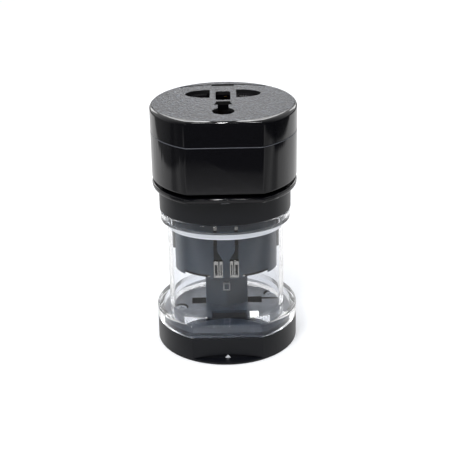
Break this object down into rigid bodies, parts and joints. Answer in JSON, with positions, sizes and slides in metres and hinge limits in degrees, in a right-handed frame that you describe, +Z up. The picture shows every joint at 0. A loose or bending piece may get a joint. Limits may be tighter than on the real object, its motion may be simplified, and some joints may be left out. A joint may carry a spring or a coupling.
{
  "type": "travel adapter",
  "caption": "Round modular travel adapter with a multi-shape socket on top and retractable flat pins, standing in a clear case on a black base.",
  "frame": {"origin": "centre of the round base, on the table", "axes": "+Z up, the front with its alignment flat faces -Y, +X to the right seen from the front"},
  "size_m": [0.058, 0.058, 0.1014],
  "materials": {
    "black_gloss": "high gloss moulded",
    "black_satin": "satin moulded",
    "face_texture": "coarse spark-eroded texture",
    "clear_plastic": "clear polished plastic",
    "slate_plastic": "satin slate grey moulded",
    "floor_grey": "fine satin, light grey",
    "inner_black": "matt insulating plastic",
    "nickel": "nickel plated, slightly satin",
    "steel_screw": "turned and zinc plated",
    "spring_steel": "drawn wire",
    "brass_contact": "stamped strip, satin",
    "fuse_glass": "clear tube",
    "foot_rubber": "fine matte rubber"
  },
  "bodies": {
    "base": {"base_shell": "black_satin", "floor_plate": "floor_grey", "post": "slate_plastic", "floor_screws": "steel_screw", "keeper_strip": "nickel", "keeper_rivet": "nickel", "post_screw": "steel_screw", "rubber_feet": "foot_rubber", "base_mark": "black_satin"},
    "case": {"clear_case": "clear_plastic"},
    "head": {"collar": "black_satin", "index_ring": "black_gloss", "collar_mark": "black_satin", "plug_shell": "slate_plastic", "side_tongues": "black_satin", "live_fork": "nickel", "neutral_fork": "nickel", "head_housing": "black_gloss", "top_cover": "black_gloss", "face_plate": "face_texture", "head_screws": "steel_screw", "shutter_spring_left": "spring_steel", "shutter_spring_right": "spring_steel", "contact_carrier": "inner_black", "live_contact": "brass_contact", "neutral_contact": "brass_contact", "earth_contact": "brass_contact", "fuse_tube": "fuse_glass", "fuse_caps": "nickel", "fuse_clips": "nickel", "live_bar_in": "brass_contact", "live_bar_out": "brass_contact", "neutral_bar": "brass_contact"},
    "pins": {"pin_carriage": "slate_plastic", "live_pin": "nickel", "neutral_pin": "nickel"},
    "shutter_left": {"shutter_left": "inner_black"},
    "shutter_right": {"shutter_right": "inner_black"}
  },
  "joints": [
    {"name": "case_lift", "type": "slide", "parent": "base", "child": "case", "axis": [0, 0, 1], "range_m": [0, 0.03]},
    {"name": "head_lift", "type": "slide", "parent": "case", "child": "head", "axis": [0, 0, 1], "range_m": [0, 0.045]},
    {"name": "pin_slide", "type": "slide", "parent": "head", "child": "pins", "axis": [0, 0, -1], "range_m": [0, 0.0173]},
    {"name": "shutter_left_slide", "type": "slide", "parent": "head", "child": "shutter_left", "axis": [0, -1, 0], "range_m": [0, 0.0116], "stiffness_N_per_m": 20, "springref_m": -0.003, "deforming": ["shutter_spring_left"]},
    {"name": "shutter_right_slide", "type": "slide", "parent": "head", "child": "shutter_right", "axis": [0, -1, 0], "range_m": [0, 0.0116], "stiffness_N_per_m": 20, "springref_m": -0.003, "deforming": ["shutter_spring_right"]}
  ],
  "couplings": [
    {"joint": "shutter_right_slide", "follows": "shutter_left_slide", "ratio": 1}
  ]
}
